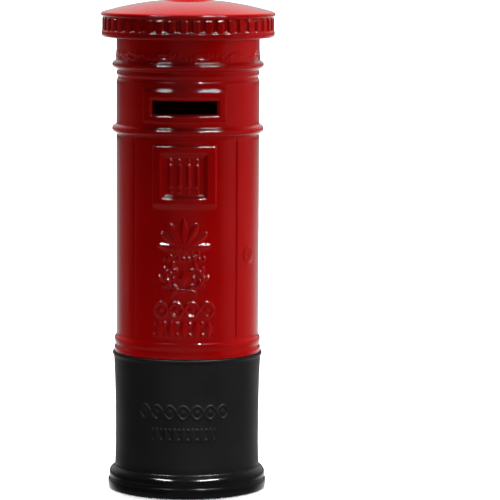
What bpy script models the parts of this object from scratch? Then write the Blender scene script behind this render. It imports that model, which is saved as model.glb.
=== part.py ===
"""Money box in the shape of a street pillar box, made of cast and enamelled metal.

A red barrel with a coin slot carries a domed cap, and stands in a black plinth whose floor
is closed by a round coin trap with a key lock. Run it with

    blender --background --python part.py

Sizes below are in millimetres. The scene is in metres, +Z up, with the origin on the table
under the middle of the base and the coin slot facing -Y.
"""

import math

import bmesh
import bpy
from mathutils import Matrix

MM = 0.001
STEPS = 40  # facets round the large castings
FINE_STEPS = 24  # facets round screws, lock pieces and bosses
GAP = 0.3  # clearance that neighbouring pieces keep

# Driving dimensions of the outside
FOOT_R = 36.3
PLINTH_R = 32.8
LIP_R = 34.3
PLINTH_TOP = 63.0
BODY_R = 32.6
BEAD_R = 34.6
BARREL_TOP = 209.0
CAP_R = 39.7
CAP_BOTTOM = 207.0
CAP_TOP = 224.9
DOME_TOP = 224.0
DISC_R = 9.6
DENTIL_COUNT, DENTIL_R, GROOVE_R = 44, 39.3, 38.5
DENTIL_BOTTOM, DENTIL_TOP = 209.3, 216.3

# Walls and inner faces of the castings
BARREL_INNER_R = 29.8
SPIGOT_R = 31.3
SPIGOT_BOTTOM = 56.9
WEB_BOTTOM = 206.9
FLANGE_R = 36.4
FLANGE_BOTTOM = 207.2
PLINTH_INNER_R = 30.8
FLOOR_BOTTOM = 4.0
FLOOR_TOP = 6.5
FOOT_BOTTOM = 0.3
RECESS_R = 30.6
SKIRT_R, CAP_WALL = 36.7, 2.0

# Coin slot, its raised frame and the notice plate under it. Widths are chords.
SLOT_WIDTH, SLOT_BOTTOM, SLOT_TOP = 29.0, 173.6, 179.7
SLOT_FLARE = 1.1
FRAME_FACE_R = 33.7
FRAME_WIDTH, FRAME_BOTTOM, FRAME_TOP = 38.4, 170.2, 184.5
PLATE_WIDTH, PLATE_BOTTOM, PLATE_TOP = 28.8, 132.4, 159.8
PANEL_WIDTH, PANEL_BOTTOM, PANEL_TOP = 21.2, 135.5, 156.4
PANEL_R = 32.8

# Door seams and the lock boss beside the door
SEAM_ANGLE, SEAM_WIDTH, SEAM_DEPTH = 45.0, 1.1, 0.5
SEAM_BOTTOM, SEAM_TOP = 71.8, 162.0
LOCK_BOSS_ANGLE, LOCK_BOSS_Z, LOCK_BOSS_R, LOCK_BOSS_PROUD = 60.0, 109.3, 3.8, 0.5

# Screws: three hold the cap and three hold the plinth
SCREW_HEAD_R, SCREW_HEAD_HEIGHT, SCREW_R, SCREW_LENGTH = 2.8, 2.1, 1.35, 9.0
SCREW_ANGLES = (180.0, 300.0, 60.0)
PILOT_R, THROUGH_R = 1.6, 1.8
CAP_SCREW_RADIUS, CAP_BOSS_R, CAP_PILOT_TOP = 24.0, 3.2, 216.5
LEG_RADIUS, LEG_R, LEG_TOP = 27.3, 2.9, 82.0

# Coin trap and its lock
TRAP_HOLE_R = 16.5
NOTCH_RADIUS, NOTCH_WIDTH = 20.2, 9.2
TRAP_FLANGE_R, TRAP_NECK_R, TRAP_SHEET = 22.0, 16.0, 1.2
TRAP_FLANGE_BOTTOM = 2.5
HOUSING_FACE_R, HOUSING_R, HOUSING_BORE_R = 10.5, 8.0, 5.8
HOUSING_BOTTOM, HOUSING_TOP = 3.4, 11.4
NUT_ACROSS_FLATS, NUT_HEIGHT = 18.0, 2.5
BARREL_PLUG_R, PLUG_BOTTOM, PLUG_SHOULDER, TENON_TOP = 5.5, 3.6, 11.6, 13.6
TENON_WIDTH = 6.0
LATCH_REACH, LATCH_LEG_X, LATCH_WIDTH, LATCH_SHEET = 19.4, 14.2, 8.0, 1.4
LATCH_FOOT_BOTTOM, LATCH_TOP = 6.9, 13.3
LATCH_SCREW_LENGTH = 5.0

RED, BLACK, STEEL, BRASS, FOAM = "red_enamel", "black_enamel", "steel", "brass", "foam"
LOOKS = {  # colour, roughness, metallic
    RED: ((0.42, 0.004, 0.006), 0.12, 0.0),
    BLACK: ((0.012, 0.012, 0.013), 0.25, 0.0),
    STEEL: ((0.55, 0.55, 0.57), 0.35, 1.0),
    BRASS: ((0.70, 0.52, 0.25), 0.30, 1.0),
    FOAM: ((0.02, 0.02, 0.02), 0.95, 0.0),
}


def clear_scene():
    for obj in list(bpy.data.objects):
        bpy.data.objects.remove(obj)


def new_collection(name):
    collection = bpy.data.collections.new(name)
    bpy.context.scene.collection.children.link(collection)
    return collection


def material(name):
    found = bpy.data.materials.get(name)
    if found:
        return found
    colour, roughness, metallic = LOOKS[name]
    made = bpy.data.materials.new(name)
    made.use_nodes = True
    shader = made.node_tree.nodes["Principled BSDF"]
    shader.inputs["Base Color"].default_value = (*colour, 1.0)
    shader.inputs["Roughness"].default_value = roughness
    shader.inputs["Metallic"].default_value = metallic
    return made


def place(obj, name, look=None):
    """Names the object and files it as a part with that look, or as a hidden cutter."""
    for collection in list(obj.users_collection):
        collection.objects.unlink(obj)
    obj.name = name
    if look is None:
        CUTTERS.objects.link(obj)
        obj.hide_render = True
        obj.display_type = "WIRE"
    else:
        PARTS.objects.link(obj)
        obj.data.materials.clear()
        obj.data.materials.append(material(look))
    return obj


def shade(obj):
    """Smooth shading with sharp edges on the mesh as its modifiers leave it."""
    obj.data.shade_smooth()
    obj.data.set_sharp_from_angle(angle=math.radians(35))
    return obj


def join(obj, other, operation="UNION"):
    """Joins other to obj, or cuts it out with DIFFERENCE."""
    modifier = obj.modifiers.new(f"{operation.lower()}_{other.name}", "BOOLEAN")
    modifier.operation = operation
    modifier.object = other
    return obj


def baked(obj):
    """Turns the object's modifiers into its mesh, so that copies can share it."""
    bpy.context.view_layer.update()
    evaluated = obj.evaluated_get(bpy.context.evaluated_depsgraph_get())
    obj.data = bpy.data.meshes.new_from_object(evaluated)
    obj.modifiers.clear()
    return obj


def polar(radius, angle):
    """Point at that radius, by degrees round from the slot side, positive towards +X."""
    turn = math.radians(angle)
    return radius * math.sin(turn), -radius * math.cos(turn)


def half_angle(width, radius):
    """Half the angle, in degrees, that a chord of that width takes at that radius."""
    return math.degrees(math.asin(width / 2 / radius))


def bead(z, half_height, foot_r, crown_r, count=4):
    """Profile of a half-round moulding, from its top down."""
    points = []
    for i in range(count + 1):
        turn = math.pi * i / count
        points.append((foot_r + (crown_r - foot_r) * math.sin(turn), z + half_height * math.cos(turn)))
    return points


def dome(edge_r, edge_z, apex_z, from_r, count):
    """Profile of a spherical dome from from_r out to its edge."""
    rise = apex_z - edge_z
    sphere_r = (edge_r**2 + rise**2) / (2 * rise)
    points = []
    for i in range(count + 1):
        r = from_r + (edge_r - from_r) * i / count
        points.append((r, apex_z - sphere_r + math.sqrt(sphere_r**2 - r**2)))
    return points


def turned(name, profile, look=None, closed=True, steps=STEPS):
    """Body of revolution from a profile of (radius, z), which runs down its outer side.
    A profile that isn't closed starts and ends on the axis."""
    mesh = bpy.data.meshes.new(name)
    edges = [(i, i + 1) for i in range(len(profile) - 1)]
    if closed:
        edges.append((len(profile) - 1, 0))
    mesh.from_pydata([(r * MM, 0, z * MM) for r, z in profile], edges, [])
    obj = place(bpy.data.objects.new(name, mesh), name, look)
    screw = obj.modifiers.new("turn", "SCREW")
    screw.steps = screw.render_steps = steps
    screw.use_merge_vertices = True
    screw.merge_threshold = 1e-6
    return obj


def cylinder(name, radius, bottom, top, at=(0, 0), look=None, steps=FINE_STEPS):
    bpy.ops.mesh.primitive_cylinder_add(
        vertices=steps,
        radius=radius * MM,
        depth=(top - bottom) * MM,
        location=(at[0] * MM, at[1] * MM, (bottom + top) / 2 * MM),
    )
    return place(bpy.context.object, name, look)


def box(name, size, centre, angle=0.0, look=None):
    """Box of that size, turned by angle degrees about the vertical."""
    bpy.ops.mesh.primitive_cube_add(
        size=MM,
        location=[c * MM for c in centre],
        rotation=(0, 0, math.radians(angle)),
    )
    obj = place(bpy.context.object, name, look)
    obj.data.transform(Matrix.Diagonal((*size, 1)))
    return obj


def curved_block(name, width, bottom, top, inner_r, outer_r, bevel=0.0):
    """Cutter that follows the barrel's curve, centred on the slot side. Its width is a chord at outer_r."""
    reach = half_angle(width, outer_r)
    mesh = bpy.data.meshes.new(name)
    x, y = polar(inner_r, -reach)
    mesh.from_pydata([(x * MM, y * MM, top * MM), (x * MM, y * MM, bottom * MM)], [(0, 1)], [])
    obj = place(bpy.data.objects.new(name, mesh), name)
    screw = obj.modifiers.new("sweep", "SCREW")
    screw.angle = math.radians(2 * reach)
    screw.steps = screw.render_steps = max(4, round(STEPS * reach / 180))
    solidify = obj.modifiers.new("thickness", "SOLIDIFY")
    solidify.thickness = (outer_r - inner_r) * MM
    solidify.offset = 1.0
    if bevel:
        edge = obj.modifiers.new("edges", "BEVEL")
        edge.width = bevel * MM
        edge.segments = 1
        edge.angle_limit = math.radians(50)
    return obj


def outline_prism(name, outlines, depth, look=None):
    """Mesh of flat outlines in millimetres, filled in their XY plane and extruded by depth about it.
    An outline inside another is a hole."""
    curve = bpy.data.curves.new(name, "CURVE")
    curve.dimensions = "2D"
    curve.fill_mode = "BOTH"
    curve.extrude = depth / 2 * MM
    for outline in outlines:
        spline = curve.splines.new("POLY")
        spline.points.add(len(outline) - 1)
        for point, (x, y) in zip(spline.points, outline):
            point.co = (x * MM, y * MM, 0, 1)
        spline.use_cyclic_u = True
    source = bpy.data.objects.new(name + "_outline", curve)
    bpy.context.scene.collection.objects.link(source)
    bpy.context.view_layer.update()
    mesh = bpy.data.meshes.new_from_object(source.evaluated_get(bpy.context.evaluated_depsgraph_get()))
    bpy.data.objects.remove(source)
    weld = bmesh.new()
    weld.from_mesh(mesh)
    bmesh.ops.remove_doubles(weld, verts=weld.verts, dist=1e-6)
    bmesh.ops.recalc_face_normals(weld, faces=weld.faces)
    weld.to_mesh(mesh)
    weld.free()
    return place(bpy.data.objects.new(name, mesh), name, look)


def slot_flare(name, near_r, far_r):
    """Cutter for the slot's countersink, which widens all round towards the outside."""
    size = (SLOT_WIDTH, far_r - near_r, SLOT_TOP - SLOT_BOTTOM)
    obj = box(name, size, (0, -(near_r + far_r) / 2, (SLOT_BOTTOM + SLOT_TOP) / 2))
    for vertex in obj.data.vertices:
        if vertex.co.y < 0:
            vertex.co.x += math.copysign(SLOT_FLARE * MM, vertex.co.x)
            vertex.co.z += math.copysign(SLOT_FLARE * MM, vertex.co.z)
    return obj


def barrel_profile():
    """Outer side of the barrel from its top flange down to the spigot, then up the inside."""
    head = [(0, BARREL_TOP), (FLANGE_R, BARREL_TOP), (FLANGE_R, FLANGE_BOTTOM), (33.0, FLANGE_BOTTOM)]
    neck = [(BODY_R, 206.6), (BODY_R, 198.0)]
    collar = [*bead(194.5, 1.9, 32.7, BEAD_R), (32.2, 192.3)]
    ring = bead(190.6, 1.0, 32.3, 32.6, 3)
    drum = [(32.0, 189.0), (32.0, 188.2), (BODY_R, 187.0), (BODY_R, 168.8)]
    waist = [*bead(165.3, 1.9, 32.7, BEAD_R), (32.1, 163.0), (BODY_R, 162.3)]
    foot = [(BODY_R, 71.4), *bead(68.5, 1.9, 33.0, 33.4, 3), *bead(64.8, 1.3, 33.0, 33.5, 3)]
    spigot = [(SPIGOT_R, 63.3), (SPIGOT_R, SPIGOT_BOTTOM), (BARREL_INNER_R, SPIGOT_BOTTOM)]
    inside = [(BARREL_INNER_R, WEB_BOTTOM), (0, WEB_BOTTOM)]
    return head + neck + collar + ring + drum + waist + foot + spigot + inside


def seam_cutter(name, angle):
    x, y = polar(BODY_R + 1.0 - SEAM_DEPTH, angle)
    height = SEAM_TOP - SEAM_BOTTOM
    return box(name, (SEAM_WIDTH, 2.0, height), (x, y, (SEAM_TOP + SEAM_BOTTOM) / 2), angle)


def lock_boss(obj):
    """Round boss with a keyhole, low on the barrel beside the door."""
    for name, radius, near, far, operation in (
        ("lock_boss", LOCK_BOSS_R, BODY_R - 1.0, BODY_R + LOCK_BOSS_PROUD, "UNION"),
        ("keyhole", 0.8, BODY_R - 0.4, BODY_R + 2.0, "DIFFERENCE"),
    ):
        pin = cylinder(name, radius, 0, far - near, steps=16)
        x, y = polar((near + far) / 2, LOCK_BOSS_ANGLE)
        pin.location = (x * MM, y * MM, LOCK_BOSS_Z * MM)
        pin.rotation_euler = (math.radians(90), 0, math.radians(LOCK_BOSS_ANGLE))
        join(obj, pin, operation)


def make_barrel():
    barrel = turned("barrel", barrel_profile(), RED, closed=False)
    root_r, face_r = BODY_R - 0.8, FRAME_FACE_R
    join(barrel, curved_block("frame_block", FRAME_WIDTH, FRAME_BOTTOM, FRAME_TOP, root_r, face_r, bevel=0.5))
    join(barrel, curved_block("plate_block", PLATE_WIDTH, PLATE_BOTTOM, PLATE_TOP, root_r, face_r, bevel=0.4))
    panel = curved_block("panel_cut", PANEL_WIDTH, PANEL_BOTTOM, PANEL_TOP, PANEL_R, face_r + 2)
    join(barrel, panel, "DIFFERENCE")
    for i, angle in enumerate(SCREW_ANGLES, 1):
        at = polar(LEG_RADIUS, angle)
        join(barrel, cylinder(f"leg_{i}", LEG_R, FLOOR_TOP + GAP, LEG_TOP, at, steps=16))
    slot_size = (SLOT_WIDTH, 20, SLOT_TOP - SLOT_BOTTOM)
    join(barrel, box("slot_cut", slot_size, (0, -BODY_R, (SLOT_TOP + SLOT_BOTTOM) / 2)), "DIFFERENCE")
    join(barrel, slot_flare("slot_flare", BODY_R - 0.6, FRAME_FACE_R + 1), "DIFFERENCE")
    for side in (-1, 1):
        join(barrel, seam_cutter(f"seam_cut_{side}", side * SEAM_ANGLE), "DIFFERENCE")
    lock_boss(barrel)
    for i, angle in enumerate(SCREW_ANGLES, 1):
        at = polar(CAP_SCREW_RADIUS, angle)
        web_hole = cylinder(f"web_hole_{i}", THROUGH_R, WEB_BOTTOM - 1, BARREL_TOP + 1, at, steps=12)
        join(barrel, web_hole, "DIFFERENCE")
        at = polar(LEG_RADIUS, angle)
        pilot = cylinder(f"leg_pilot_{i}", PILOT_R, FLOOR_TOP - 1, FLOOR_TOP + SCREW_LENGTH, at, steps=12)
        join(barrel, pilot, "DIFFERENCE")
    return barrel


def dentil_outline():
    """Outer edge of the toothed band round the cap."""
    points = []
    for i in range(DENTIL_COUNT):
        for radius, share in ((GROOVE_R, -0.30), (DENTIL_R, -0.22), (DENTIL_R, 0.22), (GROOVE_R, 0.30)):
            points.append(polar(radius, 360 / DENTIL_COUNT * (i + share)))
    return points


def make_cap():
    crown = [(0, CAP_TOP), (DISC_R - 0.6, CAP_TOP - 0.1), (DISC_R, CAP_TOP - 0.5)]
    outside = dome(39.1, 218.3, DOME_TOP, DISC_R, 6)
    rim = [(CAP_R, 217.5), (CAP_R, 216.8), (39.1, 216.1), (38.6, 215.8), (38.6, 209.9)]
    lip = [(DENTIL_R, 209.6), (DENTIL_R, 207.8), (38.7, CAP_BOTTOM), (SKIRT_R, CAP_BOTTOM)]
    inside = dome(SKIRT_R, 215.9, DOME_TOP - CAP_WALL, 0, 4)[::-1]
    cap = turned("cap", crown + outside + rim + lip + inside, RED, closed=False)
    ring_inner = [polar(37.4, 360 / STEPS * i) for i in range(STEPS)]
    teeth = outline_prism("dentil_ring", [dentil_outline(), ring_inner], DENTIL_TOP - DENTIL_BOTTOM)
    teeth.location.z = (DENTIL_TOP + DENTIL_BOTTOM) / 2 * MM
    join(cap, teeth)
    places = [polar(CAP_SCREW_RADIUS, angle) for angle in SCREW_ANGLES]
    for i, at in enumerate(places, 1):
        join(cap, cylinder(f"cap_boss_{i}", CAP_BOSS_R, BARREL_TOP + GAP, 220.5, at, steps=16))
    for i, at in enumerate(places, 1):
        pilot = cylinder(f"cap_pilot_{i}", PILOT_R, BARREL_TOP - 1, CAP_PILOT_TOP, at, steps=12)
        join(cap, pilot, "DIFFERENCE")
    return cap


def plinth_profile():
    lip = [(34.1, PLINTH_TOP), (LIP_R, 62.7), (LIP_R, 61.9), (33.7, 61.2)]
    wall = [(33.2, 52.0), (32.95, 42.0), (PLINTH_R, 32.0), (PLINTH_R, 19.0), (32.95, 14.5)]
    sweep = [(33.2, 10.8), (34.2, 9.6)]
    upper_bead = [(35.2, 8.7), (35.75, 7.3), (35.75, 6.4), (35.5, 5.4)]
    lower_bead = [(36.0, 4.3), (FOOT_R, 3.4), (FOOT_R, 2.2), (35.8, FOOT_BOTTOM)]
    pad_groove = [(35.3, FOOT_BOTTOM), (35.3, 1.3), (31.2, 1.3), (31.2, FOOT_BOTTOM)]
    floor = [(RECESS_R, FOOT_BOTTOM), (RECESS_R, FLOOR_BOTTOM), (TRAP_HOLE_R, FLOOR_BOTTOM),
             (TRAP_HOLE_R, FLOOR_TOP), (PLINTH_INNER_R, FLOOR_TOP)]
    register = [(PLINTH_INNER_R, 56.2), (SPIGOT_R + GAP, 56.6), (SPIGOT_R + GAP, PLINTH_TOP)]
    return lip + wall + sweep + upper_bead + lower_bead + pad_groove + floor + register


def make_plinth():
    plinth = turned("plinth", plinth_profile(), BLACK)
    middle = (FLOOR_BOTTOM + FLOOR_TOP) / 2
    notch = box("notch_cut", (2 * NOTCH_RADIUS, NOTCH_WIDTH, 6), (0, 0, middle))
    join(plinth, notch, "DIFFERENCE")
    for i, angle in enumerate(SCREW_ANGLES, 1):
        hole = cylinder(f"floor_hole_{i}", THROUGH_R, 3, 8, polar(LEG_RADIUS, angle), steps=12)
        join(plinth, hole, "DIFFERENCE")
    return plinth


def make_pad():
    return turned("base_pad", [(35.0, 1.0), (35.0, 0.0), (31.5, 0.0), (31.5, 1.0)], FOAM)


def make_screw(name, length):
    """Pan-head screw standing head down, with its head's bearing face at z = 0 and a cross recess."""
    head = SCREW_HEAD_HEIGHT
    profile = [(0, length), (0.5, length), (SCREW_R, length - 1.6), (SCREW_R, 0), (SCREW_HEAD_R, 0),
               (SCREW_HEAD_R, -head * 0.45), (SCREW_HEAD_R * 0.72, -head), (0, -head)]
    screw = turned(name, profile, STEEL, closed=False, steps=16)
    for i, (dx, dy) in enumerate(((3.2, 0.7), (0.7, 3.2))):
        join(screw, box(f"{name}_recess_{i}", (dx, dy, 2.0), (0, 0, -head)), "DIFFERENCE")
    return baked(screw)


def make_screws():
    first = make_screw("cap_screw_1", SCREW_LENGTH)
    for prefix, radius, bearing in (
        ("cap_screw", CAP_SCREW_RADIUS, WEB_BOTTOM - GAP),
        ("plinth_screw", LEG_RADIUS, FLOOR_BOTTOM - GAP),
    ):
        for i, angle in enumerate(SCREW_ANGLES, 1):
            name = f"{prefix}_{i}"
            screw = bpy.data.objects.get(name) or bpy.data.objects.new(name, first.data)
            if screw.name not in PARTS.objects:
                PARTS.objects.link(screw)
            x, y = polar(radius, angle)
            screw.location = (x * MM, y * MM, bearing * MM)


def make_trap_plate():
    top = TRAP_FLANGE_BOTTOM + TRAP_SHEET
    profile = [
        (TRAP_NECK_R, FLOOR_TOP), (TRAP_NECK_R, top), (TRAP_FLANGE_R, top),
        (TRAP_FLANGE_R, TRAP_FLANGE_BOTTOM), (TRAP_NECK_R - TRAP_SHEET, TRAP_FLANGE_BOTTOM),
        (TRAP_NECK_R - TRAP_SHEET, FLOOR_TOP - TRAP_SHEET), (HOUSING_R + GAP, FLOOR_TOP - TRAP_SHEET),
        (HOUSING_R + GAP, FLOOR_TOP),
    ]
    return turned("trap_plate", profile, BLACK)


def make_lock_housing():
    face_top = FLOOR_TOP - TRAP_SHEET - GAP
    profile = [
        (HOUSING_R, HOUSING_TOP), (HOUSING_R, face_top), (HOUSING_FACE_R, face_top),
        (HOUSING_FACE_R, HOUSING_BOTTOM + 0.4), (HOUSING_FACE_R - 0.4, HOUSING_BOTTOM),
        (HOUSING_BORE_R, HOUSING_BOTTOM), (HOUSING_BORE_R, HOUSING_TOP),
    ]
    return turned("lock_housing", profile, STEEL, steps=32)


def make_lock_nut():
    bottom = FLOOR_TOP + GAP
    corner_r = NUT_ACROSS_FLATS / 2 / math.cos(math.pi / 6)
    nut = cylinder("lock_nut", corner_r, bottom, bottom + NUT_HEIGHT, look=BRASS, steps=6)
    bore = cylinder("nut_bore", HOUSING_R + GAP, bottom - 1, bottom + NUT_HEIGHT + 1, steps=32)
    return join(nut, bore, "DIFFERENCE")


def make_lock_barrel():
    plug = cylinder("lock_barrel", BARREL_PLUG_R, PLUG_BOTTOM, PLUG_SHOULDER, look=BRASS)
    tenon_bottom = PLUG_SHOULDER - 1.0
    tenon = box("plug_tenon", (TENON_WIDTH, TENON_WIDTH, TENON_TOP - tenon_bottom),
                (0, 0, (TENON_TOP + tenon_bottom) / 2))
    join(plug, tenon)
    join(plug, cylinder("plug_pilot", PILOT_R, 9.0, TENON_TOP + 1, steps=12), "DIFFERENCE")
    join(plug, box("key_slot", (1.6, 7.2, 7.0), (0, 0, PLUG_BOTTOM)), "DIFFERENCE")
    return plug


def make_latch_bar():
    """Hat-shaped strip whose feet pass the floor's notches, and lock over the floor after a quarter turn."""
    foot_top = LATCH_FOOT_BOTTOM + LATCH_SHEET
    inner_x = LATCH_LEG_X - LATCH_SHEET
    right = [
        (LATCH_LEG_X, LATCH_TOP), (LATCH_LEG_X, foot_top), (LATCH_REACH, foot_top),
        (LATCH_REACH, LATCH_FOOT_BOTTOM), (inner_x, LATCH_FOOT_BOTTOM), (inner_x, LATCH_TOP - LATCH_SHEET),
    ]
    left = [(-x, z) for x, z in reversed(right)]
    bar = outline_prism("latch_bar", [right + left], LATCH_WIDTH, STEEL)
    bar.rotation_euler.x = math.radians(90)
    hole_width = TENON_WIDTH + 2 * GAP
    return join(bar, box("latch_hole", (hole_width, hole_width, 6), (0, 0, LATCH_TOP)), "DIFFERENCE")


def make_latch_fixing():
    """Washer and screw that hold the latch bar on the lock barrel."""
    bottom = TENON_TOP + GAP
    thickness = 0.7
    washer = [(5.0, bottom + thickness), (5.0, bottom), (THROUGH_R, bottom), (THROUGH_R, bottom + thickness)]
    turned("latch_washer", washer, STEEL, steps=FINE_STEPS)
    screw = make_screw("latch_screw", LATCH_SCREW_LENGTH)
    screw.rotation_euler.x = math.pi
    screw.location.z = (bottom + thickness + GAP) * MM


def main():
    make_barrel()
    make_cap()
    make_plinth()
    make_pad()
    make_screws()
    make_trap_plate()
    make_lock_housing()
    make_lock_nut()
    make_lock_barrel()
    make_latch_bar()
    make_latch_fixing()
    for obj in PARTS.objects:
        shade(obj)


clear_scene()
PARTS = new_collection("pillar_money_box")
CUTTERS = new_collection("cutters")
main()
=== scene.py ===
"""Looks of the pillar-box money box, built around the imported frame. Lengths are in millimetres
until a mesh is made, and angles are in degrees from the slot side (-Y), positive towards +X."""

import math

import bpy
import numpy as np
from mathutils import Matrix, Vector


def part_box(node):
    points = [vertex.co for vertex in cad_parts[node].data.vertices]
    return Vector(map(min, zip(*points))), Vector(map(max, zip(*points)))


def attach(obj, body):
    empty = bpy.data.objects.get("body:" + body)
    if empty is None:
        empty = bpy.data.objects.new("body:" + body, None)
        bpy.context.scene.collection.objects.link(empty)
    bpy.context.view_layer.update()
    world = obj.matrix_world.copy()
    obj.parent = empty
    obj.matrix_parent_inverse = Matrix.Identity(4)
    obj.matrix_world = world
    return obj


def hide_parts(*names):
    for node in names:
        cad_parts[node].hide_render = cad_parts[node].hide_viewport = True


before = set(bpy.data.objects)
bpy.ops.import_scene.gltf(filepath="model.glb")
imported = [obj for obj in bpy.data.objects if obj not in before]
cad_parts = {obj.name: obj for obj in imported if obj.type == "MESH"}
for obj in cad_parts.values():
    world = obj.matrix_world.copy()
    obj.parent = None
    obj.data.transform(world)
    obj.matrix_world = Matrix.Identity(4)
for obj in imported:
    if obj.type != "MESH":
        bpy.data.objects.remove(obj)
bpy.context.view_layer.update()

MM = 0.001


# ---------------------------------------------------------------- sizes


def low(node):
    return np.array(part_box(node)[0]) / MM


def high(node):
    return np.array(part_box(node)[1]) / MM


CAP_R, CAP_TOP, CAP_LOW = high("cap")[0], high("cap")[2], low("cap")[2]
FOOT_R, PLINTH_TOP, FOOT_LOW = high("plinth")[0], high("plinth")[2], low("plinth")[2]
WEB_TOP = high("barrel")[2]
BODY_R = 32.6

# The screws stand on two rings, one under the cap and one over the plinth's floor.
SCREW_ANGLES = (180, 300, 60)
CAP_SCREW_RING, LEG_RING = 24.0, 27.3
PILOT_R, CLEARANCE_R = 1.6, 1.8


# ---------------------------------------------------------------- fields and profiles

TINY = 1e-6
MOUND_POWER = 1.4
PROFILE_STEP = 0.04
SPREAD_SAMPLES = 8001


def smoothstep(t):
    t = np.clip(t, 0, 1)
    return t * t * (3 - 2 * t)


def ramp(distance, soft):
    """1 inside a shape and 0 outside it, turning over within soft of its edge."""
    return smoothstep(0.5 - distance / (2 * soft))


def rect(u, z, centre, half):
    """Signed distance to an upright rectangle, near enough for a soft edge."""
    return np.maximum(np.abs(u - centre[0]) - half[0], np.abs(z - centre[1]) - half[1])


def mound(distance, half_width):
    """Rounded ridge or boss, 1 at distance 0 and 0 from half_width on."""
    return np.clip(1 - (distance / half_width) ** 2, 0, 1) ** MOUND_POWER


def stroke(u, z, points, half_width):
    """Rounded ridge along a line of points."""
    nearest = np.full(np.broadcast(u, z).shape, np.inf)
    for (au, az), (bu, bz) in zip(points[:-1], points[1:]):
        du, dz = bu - au, bz - az
        t = np.clip(((u - au) * du + (z - az) * dz) / (du * du + dz * dz), 0, 1)
        nearest = np.minimum(nearest, np.hypot(u - au - t * du, z - az - t * dz))
    return mound(nearest, half_width)


def leaf(u, z, base, lean, length, width):
    """Leaf with a ridge, from its base along a line that leans from upright by that angle."""
    c, s = math.cos(math.radians(lean)), math.sin(math.radians(lean))
    along = ((u - base[0]) * s + (z - base[1]) * c) / length
    across = (u - base[0]) * c - (z - base[1]) * s
    half = width / 2 * np.clip(4 * along * (1 - along), TINY, 1) ** 0.6
    return np.where((along > 0) & (along < 1), mound(across, half), 0)


def arc(centre, radius, start, end, count=10):
    """Points on an arc, by degrees counted from straight up, positive towards +u."""
    turns = np.radians(np.linspace(start, end, count))
    middle_u, middle_z = centre
    return [(middle_u + radius * math.sin(t), middle_z + radius * math.cos(t)) for t in turns]


def mirrored(field, u, z):
    """A field and its copy on the other side."""
    return np.maximum(field(u, z), field(-u, z))


def turned_over(field, u, z):
    """A field and its copy after half a turn."""
    return np.maximum(field(u, z), field(-u, -z))


def smooth_profile(points, sigma):
    """Radius as a function of height, from (radius, height) corners that are softened."""
    points = sorted(points, key=lambda p: p[1])
    heights = np.arange(points[0][1], points[-1][1] + PROFILE_STEP, PROFILE_STEP)
    radii = np.interp(heights, [p[1] for p in points], [p[0] for p in points])
    reach = max(1, round(3 * sigma / PROFILE_STEP))
    weights = np.exp(-0.5 * (np.arange(-reach, reach + 1) * PROFILE_STEP / sigma) ** 2)
    padded = np.pad(radii, reach, mode="edge")
    soft = np.convolve(padded, weights / weights.sum(), mode="valid")
    return lambda z: np.interp(z, heights, soft)


def half_round(z, half_height, foot_r, crown_r, count=8):
    """Corners of a half-round moulding, from the top down."""
    rise = crown_r - foot_r
    turns = np.pi * np.arange(count + 1) / count
    return [(foot_r + rise * math.sin(t), z + half_height * math.cos(t)) for t in turns]


def slope_of(profile, z):
    """How far a profile's radius changes for each millimetre of height."""
    return np.abs(profile(z + 0.05) - profile(z - 0.05)) / 0.1


def spread(low_end, high_end, count, density, closed=False):
    """Places from low_end to high_end, closer together where density is higher."""
    fine = np.linspace(low_end, high_end, SPREAD_SAMPLES)
    middle = (fine[1:] + fine[:-1]) / 2
    total = np.concatenate([[0], np.cumsum(density(middle))])
    return np.interp(np.linspace(0, total[-1], count, endpoint=not closed), total, fine)


# ---------------------------------------------------------------- turned meshes with relief


def belt(angles, rows):
    """Rings that share their angles. A row is (radius, height), each a number or one per angle."""
    radius = np.array([np.broadcast_to(r, len(angles)) for r, _ in rows])
    height = np.array([np.broadcast_to(z, len(angles)) for _, z in rows])
    return np.asarray(angles), radius, height


def relief_belt(angles, levels, radius_at):
    """Rings at those levels, from the top down, whose radius is a function of angle and height."""
    grid_angle, grid_z = np.meshgrid(angles, levels)
    return np.asarray(angles), radius_at(grid_angle, grid_z), grid_z


def zipper(upper, lower, upper_angles, lower_angles):
    """Faces between two rings that may have different numbers of points."""
    n, m = len(upper), len(lower)
    if n == m and np.allclose(upper_angles, lower_angles):
        after = [(j + 1) % n for j in range(n)]
        return [(upper[j], lower[j], lower[k], upper[k]) for j, k in enumerate(after)]
    up = np.append(upper_angles, upper_angles[0] + 360)
    down = np.append(lower_angles, lower_angles[0] + 360)
    faces, i, j = [], 0, 0
    while i < n or j < m:
        if j >= m or (i < n and up[i + 1] <= down[j + 1]):
            faces.append((upper[i % n], lower[j % m], upper[(i + 1) % n]))
            i += 1
        else:
            faces.append((upper[i % n], lower[j % m], lower[(j + 1) % m]))
            j += 1
    return faces


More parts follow.
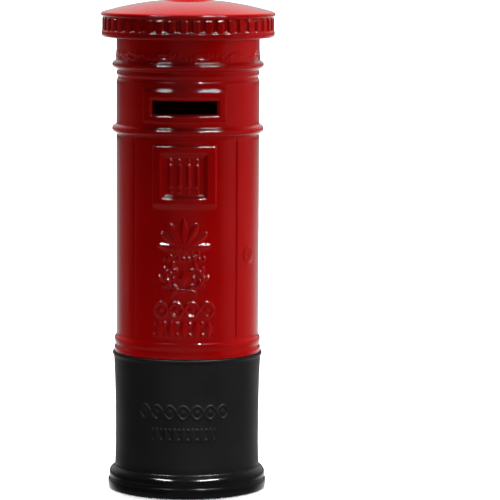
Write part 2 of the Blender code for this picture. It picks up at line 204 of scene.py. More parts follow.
def turned(name, belts, top=None, bottom=None):
    """Closed mesh from belts that run down the outside and up the inside. It ends on the axis at
    the heights top and bottom. Without them the last ring joins the first."""
    points, faces, rings = [], [], []
    count = 0
    for angles, radius, height in belts:
        turns = np.radians(angles)
        x, y = radius * np.sin(turns), -radius * np.cos(turns)
        points.append(np.stack([x, y, height], axis=-1).reshape(-1, 3))
        ids = count + np.arange(radius.size).reshape(radius.shape)
        count += radius.size
        following = np.roll(ids, -1, axis=1)
        quads = np.stack([ids[:-1], ids[1:], following[1:], following[:-1]], axis=-1)
        faces += quads.reshape(-1, 4).tolist()
        rings.append((ids, angles))
    for (above, a), (below, b) in zip(rings[:-1], rings[1:]):
        faces += zipper(above[-1], below[0], a, b)
    first, last = rings[0], rings[-1]
    if top is None:
        faces += zipper(last[0][-1], first[0][0], last[1], first[1])
    else:
        points.append(np.array([[0, 0, top], [0, 0, bottom]]))
        ring = first[0][0]
        faces += [(count, a, b) for a, b in zip(ring, np.roll(ring, -1))]
        ring = last[0][-1]
        faces += [(a, count + 1, b) for a, b in zip(ring, np.roll(ring, -1))]
    places = (np.concatenate(points) * MM).tolist()
    mesh = bpy.data.meshes.new(name)
    mesh.from_pydata(places, [], [[int(i) for i in face] for face in faces])
    obj = bpy.data.objects.new(name, mesh)
    bpy.context.scene.collection.objects.link(obj)
    return obj


def even(count, offset=0.0):
    """Angles all round, evenly spread."""
    return np.arange(count) * 360 / count - 180 + offset


def boolean(obj, cutters, operation):
    """Cuts or joins the other shapes, and removes them."""
    for other in cutters:
        modifier = obj.modifiers.new("boolean", "BOOLEAN")
        modifier.operation = operation
        modifier.solver = "MANIFOLD"
        modifier.object = other
    bpy.context.view_layer.update()
    evaluated = obj.evaluated_get(bpy.context.evaluated_depsgraph_get())
    obj.data = bpy.data.meshes.new_from_object(evaluated)
    obj.modifiers.clear()
    for other in cutters:
        bpy.data.objects.remove(other)
    return obj


def shade(obj):
    """Smooth shading, apart from edges that turn by more than 50 degrees."""
    obj.data.shade_smooth()
    obj.data.set_sharp_from_angle(angle=math.radians(50))
    return obj


def polar(radius, angle):
    return radius * math.sin(math.radians(angle)), -radius * math.cos(math.radians(angle))


def rods(name, radius, bottom, top, ring):
    """Upright cylinders at the three screws of that ring."""
    made = []
    for angle in SCREW_ANGLES:
        sides = belt(even(48), [(radius, top), (radius, bottom)])
        obj = turned(f"{name}_{angle}", [sides], top, bottom)
        x, y = polar(ring, angle)
        obj.data.transform(Matrix.Translation((x * MM, y * MM, 0)))
        made.append(obj)
    return made


def block(name, size, centre):
    """Box that lies along the axes."""
    bpy.ops.mesh.primitive_cube_add(size=1)
    obj = bpy.context.object
    obj.name = name
    obj.data.transform(Matrix.Diagonal((*(s * MM for s in size), 1)))
    obj.data.transform(Matrix.Translation([c * MM for c in centre]))
    return obj


# ---------------------------------------------------------------- ornament


def palmette(u, z):
    """Fan of leaves over two volutes and a row of beads, in the middle of the door."""
    foot = (0, 112.6)
    fan = np.zeros(np.broadcast(u, z).shape)
    for lean, length, width in ((0, 14.4, 4.6), (27, 14.0, 4.3), (53, 13.3, 4.1), (79, 12.6, 3.9)):
        for side in (-1, 1):
            fan = np.maximum(fan, leaf(u, z, foot, side * lean, length, width))
    volute = arc((4.9, 111.6), 1.6, -90, 200)
    fan = np.maximum(fan, mirrored(lambda a, b: stroke(a, b, volute, 0.85), u, z))
    fan = np.maximum(fan, mound(np.hypot(u, z - 112.0), 2.2))
    pitch = 2.3
    joint = (u + pitch / 2) % pitch - pitch / 2
    beads = mound(np.hypot(joint, z - 108.9), 0.95) * (np.abs(u) < 4.5 * pitch)
    return np.maximum(fan, beads)


def wreath(u, z):
    """Two leafy sprigs that meet below, round a lozenge."""
    middle, wide, tall = 100.2, 8.7, 5.3

    def on_oval(t):
        return wide * math.sin(t), middle - tall * math.cos(t)

    def half_of_it(a, b):
        shape = stroke(a, b, [on_oval(t) for t in np.radians(np.linspace(-4, 148, 16))], 0.75)
        for t in np.radians((18, 48, 78, 108, 138)):
            heading = math.degrees(math.atan2(wide * math.cos(t), tall * math.sin(t)))
            for lean, length in ((heading + 38, 3.7), (heading - 38, 3.3)):
                shape = np.maximum(shape, leaf(a, b, on_oval(t), lean, length, 2.1))
        return np.maximum(shape, mound(np.hypot(a - 4.4, b - middle), 1.1))

    lozenge = 1 - np.abs(u) / 2.7 - np.abs(z - middle) / 4.3
    return np.maximum(mirrored(half_of_it, u, z), np.clip(1.6 * lozenge, 0, 1))


def braid(u, z, middle, height, width, eyes, half_width=1.0):
    """Two strands that cross along a row, with a bead in the middle of each eye."""
    pitch = width / eyes
    swing = height / 2 - half_width
    phase = (u + width / 2) * math.pi / pitch
    slope = np.hypot(1, swing * np.cos(phase) * math.pi / pitch)
    row = np.zeros(np.broadcast(u, z).shape)
    for side in (-1, 1):
        strand = (z - middle - side * swing * np.sin(phase)) / slope
        row = np.maximum(row, mound(strand, half_width))
    local = (u + width / 2) % pitch - pitch / 2
    row = np.maximum(row, 0.9 * mound(np.hypot(local, z - middle), 0.26 * pitch))
    return row * ramp(np.abs(u) - width / 2, 0.3)


def lancets(u, z, middle, height, width, count):
    """Row of upright leaves with a bead above and below each joint."""
    pitch = width / count
    local = (u + width / 2) % pitch - pitch / 2
    row = leaf(local, z, (0, middle - height / 2), 0, height, 0.70 * pitch)
    joint = (u + width / 2 + pitch / 2) % pitch - pitch / 2
    for share in (-0.34, 0.34):
        row = np.maximum(row, mound(np.hypot(joint, z - middle - share * height), 1.15))
    return row * (np.abs(u) < width / 2)


def reeds(u, z):
    """Four upright reeds with a bead over and under each, in the notice plate."""
    middle, pitch = 146.0, 4.1
    field = np.zeros(np.broadcast(u, z).shape)
    for i in (-1.5, -0.5, 0.5, 1.5):
        line = [(i * pitch, middle - 4.4), (i * pitch, middle + 4.4)]
        field = np.maximum(field, stroke(u, z, line, 1.3))
        for bead in (middle - 7.0, middle + 7.0):
            field = np.maximum(field, mound(np.hypot(u - i * pitch, z - bead), 0.95))
    return field


SPRAYS, SPRAY_TURN, SPRAY_Z = 12, 13.0, 199.2


def sprays(angle, z):
    """Ring of sprays round the neck, each of two curling ribbons with a leaf on either side."""
    ribbon = [(-3.4, -0.5), (-2.6, 0.7), (-1.2, 1.4), (0.6, 1.3), (2.4, 0.6), (4.2, 0.4),
              (5.0, 1.2)]

    def half_of_it(a, b):
        shape = np.maximum(stroke(a, b, ribbon, 0.85), leaf(a, b, (1.4, 1.0), 60, 2.8, 1.7))
        return np.maximum(shape, mound(np.hypot(a - 7.0, b - 0.6), 0.9))

    pitch = 360 / SPRAYS
    u = np.radians((angle - SPRAY_TURN + pitch / 2) % pitch - pitch / 2) * BODY_R
    return turned_over(half_of_it, u, z - SPRAY_Z)


# ---------------------------------------------------------------- the barrel

INNER_R, WEB_LOW = 29.8, 206.9
SHOULDER_R, SHOULDER_Z = 33.4, 207.2
DRUM_END_R, SPIGOT_TOP = 33.4, 63.3
SPIGOT_R, SPIGOT_LOW = 31.3, 56.9
FRAME_CENTRE, FRAME_HALF = (0, 177.35), (19.6, 7.15)
SLOT_CENTRE, SLOT_HALF = (0, 176.65), (15.05, 3.05)
PLATE_CENTRE, PLATE_HALF = (0, 146.1), (14.75, 13.7)
PANEL_CENTRE, PANEL_HALF = (0, 145.95), (10.7, 10.45)
SLOT_CUT = (29.0, 22, 6.1)
BOSS_ANGLE, BOSS_Z, BOSS_R = 60.0, 109.3, 3.7
HINGE_ANGLE, HINGE_HEIGHTS = -51.0, (86.0, 94.0, 102.5)
SEAM_ANGLE, SEAM_LOW, SEAM_HIGH = 45.0, 71.8, 162.0
FRIEZE_TOP, FRIEZE_LOW = 206.8, 195.2
LEG_R, LEG_LOW, LEG_TOP, LEG_PILOT_TOP = 2.9, 6.8, 82.0, 15.5

# How far each kind of relief stands proud or goes in, and how soft the edges of the frames are.
FRAME_RELIEF, SUNK_DEPTH, PANEL_DEPTH = 1.0, 1.6, 1.7
REED_RELIEF, BADGE_RELIEF, ROW_RELIEF, FRIEZE_RELIEF = 0.8, 0.95, 0.85, 0.38
SEAM_DEPTH, BOSS_RELIEF, HINGE_RELIEF = 0.5, 0.5, 0.16
EDGE_INSET, EDGE_SOFT = 0.25, 0.42

BARREL_PROFILE = [
    (BODY_R, 206.6), (BODY_R, 198.0),
    *half_round(194.5, 1.8, 32.7, 34.6), (32.2, 192.5),
    (32.2, 192.0), *half_round(190.6, 1.0, 32.3, 32.6, 4), (32.0, 189.2),
    (32.0, 188.4), (BODY_R, 187.2), (BODY_R, 168.8),
    *half_round(165.3, 1.9, 32.7, 34.6), (32.1, 163.0), (BODY_R, 162.2),
    (BODY_R, 71.1), (32.68, 70.85), (33.25, 69.9), (33.4, 69.4), (33.4, 68.2), (33.2, 67.2),
    (33.0, 66.8), (33.0, 66.5), (33.35, 65.8), (33.5, 65.2), (33.5, 64.6), (33.4, 63.9),
    (DRUM_END_R, SPIGOT_TOP),
]
barrel_radius = smooth_profile(BARREL_PROFILE, 0.22)


def raised(u, z, centre, half):
    """Flat rectangle with soft edges, 1 on top of it."""
    return ramp(rect(u, z, centre, half) + EDGE_INSET, EDGE_SOFT)


def barrel_relief(angle, z):
    """Outer radius of the barrel with its frames, seams, lock boss and ornament."""
    u = np.radians(angle) * BODY_R
    slot_frame = FRAME_RELIEF * raised(u, z, FRAME_CENTRE, FRAME_HALF)
    slot_frame -= np.clip(1.1 - rect(u, z, SLOT_CENTRE, SLOT_HALF), 0, 1.4)
    radius = barrel_radius(z) + np.maximum(slot_frame, -SUNK_DEPTH)
    plate = FRAME_RELIEF * raised(u, z, PLATE_CENTRE, PLATE_HALF)
    plate -= PANEL_DEPTH * smoothstep((0.2 - rect(u, z, PANEL_CENTRE, PANEL_HALF)) / 2.4)
    radius += plate + REED_RELIEF * reeds(u, z)
    radius += BADGE_RELIEF * (palmette(u, z) + wreath(u, z))
    radius += ROW_RELIEF * braid(u, z, 85.7, 8.4, 28.0, 4)
    radius += ROW_RELIEF * lancets(u, z, 76.9, 7.4, 28.0, 5)
    seam_middle, seam_half = (SEAM_LOW + SEAM_HIGH) / 2, (SEAM_HIGH - SEAM_LOW) / 2
    for side in (-1, 1):
        seam = np.abs(u - side * math.radians(SEAM_ANGLE) * BODY_R)
        along = ramp(np.abs(z - seam_middle) - seam_half, 0.4)
        radius -= SEAM_DEPTH * ramp(seam - 0.5, 0.3) * along
    boss_u = math.radians(BOSS_ANGLE) * BODY_R
    off = np.hypot(u - boss_u, z - BOSS_Z)
    radius += BOSS_RELIEF * ramp(off - BOSS_R, 0.5) - 0.25 * ramp(np.abs(off - 2.4) - 0.25, 0.3)
    keyhole = np.minimum(np.hypot(u - boss_u, z - BOSS_Z - 0.7) - 0.7,
                         rect(u, z, (boss_u, BOSS_Z - 0.5), (0.3, 1.2)))
    radius -= BOSS_RELIEF * ramp(keyhole, 0.3)
    for middle in HINGE_HEIGHTS:
        hinge = rect(u, z, (math.radians(HINGE_ANGLE) * BODY_R, middle), (0.8, 2.4))
        radius += HINGE_RELIEF * ramp(hinge, 0.9)
    return radius


def frieze_relief(angle, z):
    """Outer radius of the neck."""
    return barrel_radius(z) + FRIEZE_RELIEF * sprays(angle, z)


def barrel_columns(count):
    """Angles of the barrel's columns, closer together where there is relief."""
    def density(angle):
        size = np.abs(angle)
        dense = 10.0 * (size < 37) + 9.0 * (np.abs(size - SEAM_ANGLE) < 2.5)
        dense = dense + 8.0 * (np.abs(angle - BOSS_ANGLE) < 8)
        return 1.0 + dense + 5.0 * (np.abs(angle - HINGE_ANGLE) < 3)
    return spread(-180, 180, count, density, closed=True)


def barrel_levels(top, bottom, count):
    """Heights from the top down, closer together where the radius changes or there is relief."""
    ornament = ((169.6, 185.1), (131.8, 160.4), (107.5, 127.5), (92.6, 107.4), (72.4, 90.6))

    def density(z):
        slope = slope_of(barrel_radius, z)
        dense = 0.35 + 2.2 * np.sqrt(1 + (2.5 * slope) ** 2) * (slope > 0.02)
        for start, end in ornament:
            dense = dense + 1.6 * ((z > start) & (z < end))
        return dense
    return spread(bottom, top, count, density)[::-1]


def make_barrel():
    plain = even(96)
    top = [(35.9, WEB_TOP), (36.3, WEB_TOP - 0.15), (36.4, WEB_TOP - 0.5),
           (36.4, SHOULDER_Z + 0.2), (36.2, SHOULDER_Z), (SHOULDER_R, SHOULDER_Z)]
    spigot = [(DRUM_END_R, SPIGOT_TOP), (SPIGOT_R, SPIGOT_TOP),
              (SPIGOT_R, SPIGOT_LOW + 0.4), (SPIGOT_R - 0.4, SPIGOT_LOW)]
    inside = [(INNER_R, SPIGOT_LOW), (INNER_R, 130), (INNER_R, WEB_LOW - 1), (INNER_R - 1, WEB_LOW)]
    frieze_levels = np.linspace(FRIEZE_TOP, FRIEZE_LOW, 38)
    levels = barrel_levels(FRIEZE_LOW - 0.1, SPIGOT_TOP + 0.1, 262)
    barrel = turned("barrel_casting", [
        belt(plain, top),
        relief_belt(even(420), frieze_levels, frieze_relief),
        relief_belt(barrel_columns(296), levels, barrel_relief),
        belt(plain, spigot + inside),
    ], WEB_TOP, WEB_LOW)
    boolean(barrel, rods("leg", LEG_R, LEG_LOW, LEG_TOP, LEG_RING), "UNION")
    holes = rods("pilot", PILOT_R, LEG_LOW - 1, LEG_PILOT_TOP, LEG_RING)
    holes += rods("web", CLEARANCE_R, WEB_LOW - 1, WEB_TOP + 1, CAP_SCREW_RING)
    holes.append(block("slot", SLOT_CUT, (0, -BODY_R, SLOT_CENTRE[1])))
    return boolean(barrel, holes, "DIFFERENCE")


# ---------------------------------------------------------------- the cap

DENTILS, GAP_DEPTH, GAP_LOW, GAP_TOP = 44, 0.9, 209.7, 216.2
RIM_TOP, RIM_LOW = 218.2, 207.02
SKIRT_R, SKIRT_TOP = 36.7, 214.9
DISC_R, DOME_APEX, UNDERSIDE_APEX = 9.6, 224.0, 222.0
CAP_BOSS_R, CAP_BOSS_TOP, CAP_PILOT_TOP = 3.2, 221.0, 216.5

CAP_PROFILE = [
    (39.15, RIM_TOP), (39.5, 217.9), (CAP_R, 217.4), (CAP_R, 216.9), (39.4, 216.5),
    (38.8, 216.1), (38.7, 215.8), (39.0, 215.5), (39.15, 215.1), (39.15, 210.3), (39.2, 209.9),
    (39.4, 209.5), (39.4, 208.2), (39.25, 207.5), (38.85, 207.1), (38.7, 207.0),
]
cap_radius = smooth_profile(CAP_PROFILE, 0.12)


def dome_rows(edge_r, edge_z, apex_z, start_r, count):
    """(radius, height) down a sphere that has that apex and passes through the edge."""
    rise = apex_z - edge_z
    sphere = (edge_r**2 + rise**2) / (2 * rise)
    radii = np.linspace(start_r, edge_r, count)
    return [(r, apex_z - sphere + math.sqrt(sphere**2 - r**2)) for r in radii]


def dentil_relief(angle, z):
    """Outer radius of the cap's rim, with the gaps between its dentils."""
    pitch = 360 / DENTILS
    off = np.abs(angle % pitch - pitch / 2) / pitch
    gap = smoothstep((0.27 - off) / 0.12)
    reach = smoothstep((z - GAP_LOW) / 1.1) * smoothstep((GAP_TOP - z) / 0.5)
    return cap_radius(z) - GAP_DEPTH * gap * reach


def make_cap():
    plain = even(128)
    falls = ((-0.8, 0), (-0.2, 0.06), (0.4, 0.28), (1.0, 0.62), (1.5, 0.98), (1.9, 1.24))
    disc = [(DISC_R + out, CAP_TOP - down) for out, down in falls]
    dome = dome_rows(39.0, RIM_TOP + 0.1, DOME_APEX, DISC_R + 2.4, 26)
    rim = relief_belt(even(DENTILS * 16), np.linspace(RIM_TOP, RIM_LOW, 64), dentil_relief)
    inside = [(38.5, CAP_LOW), (SKIRT_R + 0.3, CAP_LOW), (SKIRT_R, CAP_LOW + 0.3),
              (SKIRT_R, SKIRT_TOP)]
    inside += dome_rows(SKIRT_R - 0.5, SKIRT_TOP + 1, UNDERSIDE_APEX, 6.0, 10)[::-1]
    belts = [belt(plain, disc + dome), rim, belt(plain, inside)]
    cap = turned("cap_casting", belts, CAP_TOP, UNDERSIDE_APEX)
    boolean(cap, rods("boss", CAP_BOSS_R, WEB_TOP + 0.3, CAP_BOSS_TOP, CAP_SCREW_RING), "UNION")
    holes = rods("pilot", PILOT_R, WEB_TOP - 1, CAP_PILOT_TOP, CAP_SCREW_RING)
    return boolean(cap, holes, "DIFFERENCE")


# ---------------------------------------------------------------- the plinth

WAIST_R, PLINTH_RELIEF = 32.7, 0.4
PLINTH_INNER_R, RECESS_R = 30.8, 30.6
SEAT_R, SEAT_Z = 31.6, 56.2
PAD_INNER_R, PAD_OUTER_R, PAD_TOP = 31.2, 35.3, 1.3
FLOOR_LOW, FLOOR_TOP = 4.0, 6.5
HOLE_R, NOTCH_REACH, NOTCH_HALF = 16.5, 20.2, 4.6

PLINTH_PROFILE = [
    (34.0, PLINTH_TOP), (34.25, 62.8), (34.3, 62.3), (34.2, 61.8), (33.8, 61.3), (33.6, 60.6),
    (33.2, 52.0), (32.95, 42.0), (32.8, 32.0), (32.8, 19.0), (32.95, 14.5), (33.1, 11.4),
    (33.3, 10.4), (34.0, 9.8), (34.9, 9.0), (35.5, 8.1), (35.75, 7.2), (35.75, 6.3),
    (35.55, 5.5), (35.6, 5.1), (36.2, 4.1), (FOOT_R, 3.6), (FOOT_R, 2.4), (36.1, 1.2),
    (35.8, FOOT_LOW),
]
plinth_radius = smooth_profile(PLINTH_PROFILE, 0.18)


def plinth_relief(angle, z):
    """Outer radius of the plinth with its two rows of ornament."""
    u = np.radians(angle) * WAIST_R
    rows = braid(u, z, 38.9, 7.6, 43.0, 7, 0.8) + lancets(u, z, 28.6, 6.6, 29.0, 7)
    return plinth_radius(z) + PLINTH_RELIEF * rows


def plinth_columns(count):
    return spread(-180, 180, count, lambda angle: 1.0 + 7.0 * (np.abs(angle) < 41), closed=True)


def plinth_levels(count):
    def density(z):
        slope = slope_of(plinth_radius, z)
        dense = 0.3 + 2.2 * np.sqrt(1 + (2 * slope) ** 2) * (slope > 0.04)
        return dense + 1.6 * ((z > 24) & (z < 44))
    return spread(FOOT_LOW + 0.02, PLINTH_TOP - 0.02, count, density)[::-1]


def hole_columns():
    """Angles round the coin hole, with the corners of its notches among them."""
    corners = (math.degrees(math.atan2(NOTCH_HALF, NOTCH_REACH)),
               math.degrees(math.asin(NOTCH_HALF / HOLE_R)))
    edges = [side * 90 + turn * c for side in (-1, 1) for turn in (-1, 1) for c in corners]
    return np.unique(np.round(np.concatenate([even(120, 0.7), edges]), 4))


def hole_radius(angles):
    """Edge of the coin hole, whose two notches let the latch bar through."""
    turns = np.radians(angles)
    across, up = np.abs(np.sin(turns)), np.abs(np.cos(turns))
    notch = np.minimum(NOTCH_REACH / np.maximum(across, TINY), NOTCH_HALF / np.maximum(up, TINY))
    return np.maximum(HOLE_R, notch)


def make_plinth():
    plain, around = even(128), hole_columns()
    edge = hole_radius(around)
    foot = [(35.5, FOOT_LOW), (PAD_OUTER_R, FOOT_LOW), (PAD_OUTER_R, PAD_TOP),
            (PAD_INNER_R, PAD_TOP), (PAD_INNER_R, FOOT_LOW), (RECESS_R + 0.3, FOOT_LOW),
            (RECESS_R, FOOT_LOW + 0.3), (RECESS_R, FLOOR_LOW - 0.4),
            (RECESS_R - 0.4, FLOOR_LOW), (22.0, FLOOR_LOW)]
    hole = [(edge + 0.25, FLOOR_LOW), (edge, FLOOR_LOW + 0.25),
            (edge, FLOOR_TOP - 0.25), (edge + 0.25, FLOOR_TOP)]
    inside = [(23.0, FLOOR_TOP), (PLINTH_INNER_R - 0.5, FLOOR_TOP),
              (PLINTH_INNER_R, FLOOR_TOP + 0.5), (PLINTH_INNER_R, SEAT_Z),
              (SEAT_R, SEAT_Z + 0.4), (SEAT_R, PLINTH_TOP - 0.3), (SEAT_R + 0.3, PLINTH_TOP)]
    plinth = turned("plinth_casting", [
        relief_belt(plinth_columns(300), plinth_levels(190), plinth_relief),
        belt(plain, foot), belt(around, hole), belt(plain, inside),
    ])
    holes = rods("floor", CLEARANCE_R, FLOOR_LOW - 1, FLOOR_TOP + 1, LEG_RING)
    return boolean(plinth, holes, "DIFFERENCE")


# ---------------------------------------------------------------- materials


class Tree:
    """Node tree of one material, with its shader."""

    def __init__(self, name):
        self.material = bpy.data.materials.new(name)
        self.material.use_nodes = True
        self.nodes = self.material.node_tree.nodes
        self.shader = self.nodes["Principled BSDF"]
        self.place = self.add("ShaderNodeTexCoord").outputs["Object"]

    def add(self, kind, **settings):
        node = self.nodes.new(kind)
        for key, value in settings.items():
            setattr(node, key, value)
        return node

    def link(self, source, target):
        self.material.node_tree.links.new(source, target)

    def noise(self, scale, detail=2.0, roughness=0.5, stretch=None):
        node = self.add("ShaderNodeTexNoise")
        node.inputs["Scale"].default_value = scale
        node.inputs["Detail"].default_value = detail
        node.inputs["Roughness"].default_value = roughness
        source = self.place
        if stretch:
            mapping = self.add("ShaderNodeMapping")
            mapping.inputs["Scale"].default_value = stretch
            self.link(source, mapping.inputs["Vector"])
            source = mapping.outputs["Vector"]
        self.link(source, node.inputs["Vector"])
        return node.outputs["Fac"]

    def ramp(self, value, stops):
        """Colours or greys over a value, as (place, colour) stops."""
        node = self.add("ShaderNodeValToRGB")
        while len(node.color_ramp.elements) < len(stops):
            node.color_ramp.elements.new(0.5)
        for element, (at, colour) in zip(node.color_ramp.elements, stops):
            element.position = at
            grey = (colour,) * 3 if isinstance(colour, (int, float)) else colour
            element.color = (*grey, 1.0)
        self.link(value, node.inputs["Fac"])
        return node.outputs["Color"]

    def feed(self, socket, value):
        """Gives a socket a number or colour, or the output of another node."""
        if hasattr(value, "is_output"):
            self.link(value, socket)
        else:
            socket.default_value = value

    def mix(self, amount, first, second, blend="MIX"):
        node = self.add("ShaderNodeMix", data_type="RGBA", blend_type=blend)
        for socket, value in (("Factor", amount), ("A", first), ("B", second)):
            self.feed(node.inputs[socket], value)
        return node.outputs["Result"]

    def set(self, **values):
        """Feeds the shader's inputs, named with _ for each space."""
        for key, value in values.items():
            self.feed(self.shader.inputs[key.replace("_", " ")], value)

    def bump(self, *layers):
        """Bumps one over another, each (height, depth in millimetres)."""
        normal = None
        for height, depth in layers:
            node = self.add("ShaderNodeBump")
            node.inputs["Distance"].default_value = depth * MM
            self.link(height, node.inputs["Height"])
            if normal:
                self.link(normal, node.inputs["Normal"])
            normal = node.outputs["Normal"]
        self.set(Normal=normal)
        return normal


def red_enamel():
    """Red under a clear gloss coat, with pools of deeper colour, fine specks and a soft ripple."""
    tree = Tree("red_enamel_gloss")
    reds = [(0.30, (0.39, 0.0012, 0.0014)), (0.55, (0.43, 0.0015, 0.0018)),
            (0.75, (0.46, 0.0022, 0.0026))]
    colour = tree.ramp(tree.noise(28, 3), reds)
    speck = tree.ramp(tree.noise(900, 2), [(0.30, 0.90), (0.42, 1.0)])
    tree.set(Base_Color=tree.mix(1.0, colour, speck, "MULTIPLY"), Specular_IOR_Level=0.06,
             Roughness=tree.ramp(tree.noise(60, 4), [(0.3, 0.16), (0.7, 0.24)]),
             Coat_Weight=1.0, Coat_Roughness=0.02, Coat_IOR=1.5)
    tree.set(Coat_Normal=tree.bump((tree.noise(240, 1), 0.006), (tree.noise(1400, 2), 0.0008)))
    return tree.material


def black_enamel():
    """Satin black with faint wear, which turns to gloss on the foot mouldings."""
    tree = Tree("black_enamel_satin")
    split = tree.add("ShaderNodeSeparateXYZ")
    tree.link(tree.place, split.inputs["Vector"])
    above_foot = tree.add("ShaderNodeMapRange")
    above_foot.inputs["From Min"].default_value = 8.5 * MM
    above_foot.inputs["From Max"].default_value = 13.5 * MM
    tree.link(split.outputs["Z"], above_foot.inputs["Value"])
    patches = tree.noise(90, 5, 0.6)
    gloss = tree.ramp(patches, [(0.3, 0.12), (0.7, 0.18)])
    satin = tree.ramp(patches, [(0.3, 0.40), (0.7, 0.50)])
    blacks = [(0.3, (0.0072, 0.0072, 0.0075)), (0.7, (0.0105, 0.0105, 0.0108))]
    wear = tree.ramp(tree.noise(700, 3, 0.7), [(0.35, 0.82), (0.6, 1.0)])
    tree.set(Base_Color=tree.mix(1.0, tree.ramp(tree.noise(35, 4), blacks), wear, "MULTIPLY"),
             Roughness=tree.mix(above_foot.outputs["Result"], gloss, satin))
    tree.bump((tree.noise(320, 2), 0.010), (tree.noise(2200, 3), 0.003))
    return tree.material


def metal(name, patches, tints, grain, roughness, lines, stretch):
    """Bare metal in patches of several tints, with fine grain and turned lines. patches is the
    (scale, detail) of their noise, and grain and lines are scales."""
    tree = Tree(name)
    smooth, rough = roughness
    tree.set(Base_Color=tree.ramp(tree.noise(*patches), tints), Metallic=1.0,
             Roughness=tree.ramp(tree.noise(grain, 4), [(0.3, smooth), (0.7, rough)]))
    tree.bump((tree.noise(lines, 3, stretch=(1, 1, stretch)), 0.003))
    return tree.material


def zinc():
    tints = [(0.3, (0.52, 0.54, 0.58)), (0.55, (0.62, 0.62, 0.63)), (0.75, (0.66, 0.64, 0.58))]
    return metal("zinc_plate", (220, 3), tints, 900, (0.22, 0.40), 2600, 8)


def brass():
    tints = [(0.3, (0.52, 0.36, 0.14)), (0.6, (0.68, 0.50, 0.22)), (0.8, (0.74, 0.57, 0.28))]
    return metal("turned_brass", (160, 4), tints, 1200, (0.20, 0.36), 1800, 10)


def foam():
    """Black foam rubber with small closed cells."""
    tree = Tree("foam_rubber")
    cells = tree.add("ShaderNodeTexVoronoi")
    cells.inputs["Scale"].default_value = 2600
    tree.link(tree.place, cells.inputs["Vector"])
    greys = [(0.1, (0.010, 0.010, 0.010)), (0.6, (0.035, 0.035, 0.035))]
    tree.set(Base_Color=tree.ramp(cells.outputs["Distance"], greys),
             Roughness=tree.ramp(tree.noise(500, 3), [(0.3, 0.85), (0.7, 0.98)]))
    tree.bump((cells.outputs["Distance"], 0.08))
    return tree.material


# ---------------------------------------------------------------- camera, floor and light

CAMERA_DISTANCE, CAMERA_HEIGHT, CAMERA_SIDE = 1.517, 0.27885, 0.0286
CAMERA_PITCH, CAMERA_ROLL, CAMERA_TURN = 6.3715, 0.30, 1.8
LENS, SENSOR = 240.0, 36.0


def make_camera():
    data = bpy.data.cameras.new("camera")
    data.sensor_width = SENSOR
    data.lens = LENS
    camera = bpy.data.objects.new("camera", data)
    bpy.context.scene.collection.objects.link(camera)
    turn = Matrix.Rotation(math.radians(CAMERA_TURN), 3, "Z")
    camera.location = turn @ Vector((CAMERA_SIDE, -CAMERA_DISTANCE, CAMERA_HEIGHT))
    pitch = Matrix.Rotation(math.radians(90 - CAMERA_PITCH), 3, "X")
    roll = Matrix.Rotation(math.radians(CAMERA_ROLL), 3, "Z")
    camera.rotation_euler = (turn @ pitch @ roll).to_euler()
    bpy.context.scene.camera = camera


def make_floor():
    """Pale floor that takes the shadow. It is see-through from below, where the trap comes out."""
    bpy.ops.mesh.primitive_plane_add(size=30)
    floor = bpy.context.object
    floor.name = "floor"
    tree = Tree("pale_floor")
    top_side = tree.add("ShaderNodeMath", operation="SUBTRACT")
    top_side.inputs[0].default_value = 1.0
    under_side = tree.add("ShaderNodeNewGeometry").outputs["Backfacing"]
    tree.link(under_side, top_side.inputs[1])
    tree.set(Base_Color=tree.ramp(tree.noise(3, 3), [(0.3, 0.90), (0.7, 0.93)]), Roughness=0.9,
             Specular_IOR_Level=0.1, Alpha=top_side.outputs[0])
    floor.data.materials.append(tree.material)
    floor.visible_glossy = floor.visible_diffuse = False


def aim(light, azimuth, elevation, distance, middle):
    """Places a light in that direction from the middle and turns it towards it."""
    x, y = polar(math.cos(math.radians(elevation)) * distance, azimuth)
    offset = Vector((x, y, math.sin(math.radians(elevation)) * distance))
    light.location = Vector(middle) + offset
    light.rotation_euler = (-offset).to_track_quat("-Z", "Y").to_euler()


def add_light(name, kind, energy, reflected):
    data = bpy.data.lights.new(name, kind)
    data.energy = energy
    light = bpy.data.objects.new(name, data)
    bpy.context.scene.collection.objects.link(light)
    light.visible_camera = False
    light.visible_glossy = reflected
    return light


def softbox(name, direction, distance, size, radiance, reflected, middle):
    """Rectangular light of that radiance, which is seen only in reflections or left out of them.
    direction is (azimuth, elevation)."""
    light = add_light(name, "AREA", radiance * math.pi * size[0] * size[1], reflected)
    light.visible_diffuse = not reflected
    light.data.shape = "RECTANGLE"
    light.data.size, light.data.size_y = size
    aim(light, *direction, distance, middle)


FRONT_GLOW, STUDIO_DARK = 0.05, 0.004
SWEEP_BEHIND, SWEEP_BESIDE, WALL_SHARE = 0.76, 0.11, 0.5
TABLE_NEAR, TABLE_FAR = 0.12, 1.0
GROUND_AHEAD, GROUND_BESIDE = 0.03, 0.13


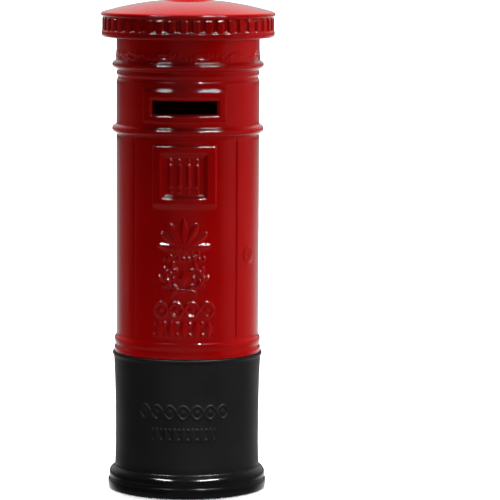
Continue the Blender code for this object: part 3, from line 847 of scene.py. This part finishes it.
def make_world():
    """White to the eye all round. For light and reflections it is a white sweep behind, with its
    table below and its wall above the horizon, and a dim studio in front."""
    world = bpy.data.worlds.new("studio")
    bpy.context.scene.world = world
    world.use_nodes = True
    nodes, links = world.node_tree.nodes, world.node_tree.links
    nodes.clear()

    def calc(operation, *values):
        node = nodes.new("ShaderNodeMath")
        node.operation = operation
        for socket, value in zip(node.inputs, values):
            if hasattr(value, "is_output"):
                links.new(value, socket)
            else:
                socket.default_value = value
        return node.outputs[0]

    def add(first, second):
        return calc("ADD", first, second)

    def times(first, second):
        return calc("MULTIPLY", first, second)

    def between(first, second, share):
        """From one number to another as the share goes from 0 to 1."""
        return calc("MULTIPLY_ADD", share, second - first, first)

    def step(value, start, end):
        """0 up to start and 1 from end on, with a soft turn."""
        node = nodes.new("ShaderNodeMapRange")
        node.interpolation_type = "SMOOTHSTEP"
        node.inputs["From Min"].default_value = start
        node.inputs["From Max"].default_value = end
        links.new(value, node.inputs["Value"])
        return node.outputs["Result"]

    place = nodes.new("ShaderNodeTexCoord").outputs["Generated"]
    split = nodes.new("ShaderNodeSeparateXYZ")
    links.new(place, split.inputs["Vector"])
    x, y, z = split.outputs
    horizontal = calc("MAXIMUM", calc("SQRT", add(times(x, x), times(y, y))), 0.001)
    rearward = calc("DIVIDE", y, horizontal)
    sideways = calc("DIVIDE", calc("ABSOLUTE", x), horizontal)

    behind = times(step(rearward, 0.50, 1.05), SWEEP_BEHIND)
    beside = times(step(rearward, 0.2, 0.6), SWEEP_BESIDE)
    table = between(TABLE_NEAR, TABLE_FAR, step(z, -0.03, -0.17))
    wall = times(times(step(z, 0.0, 0.12), step(z, 0.80, 0.35)), WALL_SHARE)
    sweep = times(add(behind, beside), add(table, wall))
    ground = times(step(z, -0.15, -0.6), between(GROUND_AHEAD, GROUND_BESIDE, sideways))
    glow = times(step(rearward, -0.80, -1.0), FRONT_GLOW)
    studio = add(ground, add(glow, STUDIO_DARK))

    seen = nodes.new("ShaderNodeLightPath").outputs["Is Camera Ray"]
    background = nodes.new("ShaderNodeBackground")
    background.inputs["Color"].default_value = (1, 1, 1, 1)
    strength = calc("MAXIMUM", calc("MAXIMUM", sweep, studio), seen)
    links.new(strength, background.inputs["Strength"])
    output = nodes.new("ShaderNodeOutputWorld")
    links.new(background.outputs["Background"], output.inputs["Surface"])


SKY_POWER, SKY_SPREAD, SKY_FROM, SKY_DISTANCE = 7.6, 50, (180, 70), 2.0
LIT_MIDDLE, LOW_MIDDLE = (0, 0, 0.12), (0, 0, 0.07)
SOFTBOXES = (
    # name, (azimuth, elevation), distance, (width, height), radiance, reflected, aimed at
    ("glint_left", (-44, 50), 1.2, (0.42, 0.05), 110, True, LIT_MIDDLE),
    ("glint_right", (46, 50), 1.2, (0.58, 0.05), 170, True, LIT_MIDDLE),
    ("fill_left", (-104, 4), 1.0, (0.6, 0.8), 1.15, False, LIT_MIDDLE),
    ("fill_right", (80, 4), 1.0, (0.7, 0.8), 4.3, False, LIT_MIDDLE),
    ("rim_left", (-126, 4), 1.0, (0.6, 0.8), 3.6, False, LIT_MIDDLE),
    ("rim_right", (120, 4), 1.0, (0.6, 0.8), 5.0, False, LIT_MIDDLE),
    ("bounce", (0, -19), 0.212, (0.5, 0.08), 2.5, False, LOW_MIDDLE),
)


def make_lights():
    sky = add_light("sky", "SUN", SKY_POWER, False)
    sky.data.angle = math.radians(SKY_SPREAD)
    aim(sky, *SKY_FROM, SKY_DISTANCE, LIT_MIDDLE)
    for values in SOFTBOXES:
        softbox(*values)


# ---------------------------------------------------------------- putting it together


def dress():
    """Puts the detailed castings in place of the plain ones and gives the other nodes a finish."""
    red, black, steel, gold, rubber = red_enamel(), black_enamel(), zinc(), brass(), foam()
    castings = (
        (make_barrel, "barrel", red, "red_enamel"),
        (make_cap, "cap", red, "red_enamel"),
        (make_plinth, "plinth", black, "black_enamel"),
    )
    for make, node, material, slot in castings:
        piece = shade(make())
        piece.data.materials.clear()
        piece.data.materials.append(material)
        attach(piece, "root")
        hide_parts(node)
    looks = {"base_pad": rubber, "trap_plate": black, "lock_nut": gold, "lock_barrel": gold}
    for name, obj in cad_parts.items():
        obj.data.materials.clear()
        obj.data.materials.append(looks.get(name, steel))


bpy.context.scene.view_settings.view_transform = "Standard"
make_camera()
make_floor()
make_world()
make_lights()
dress()
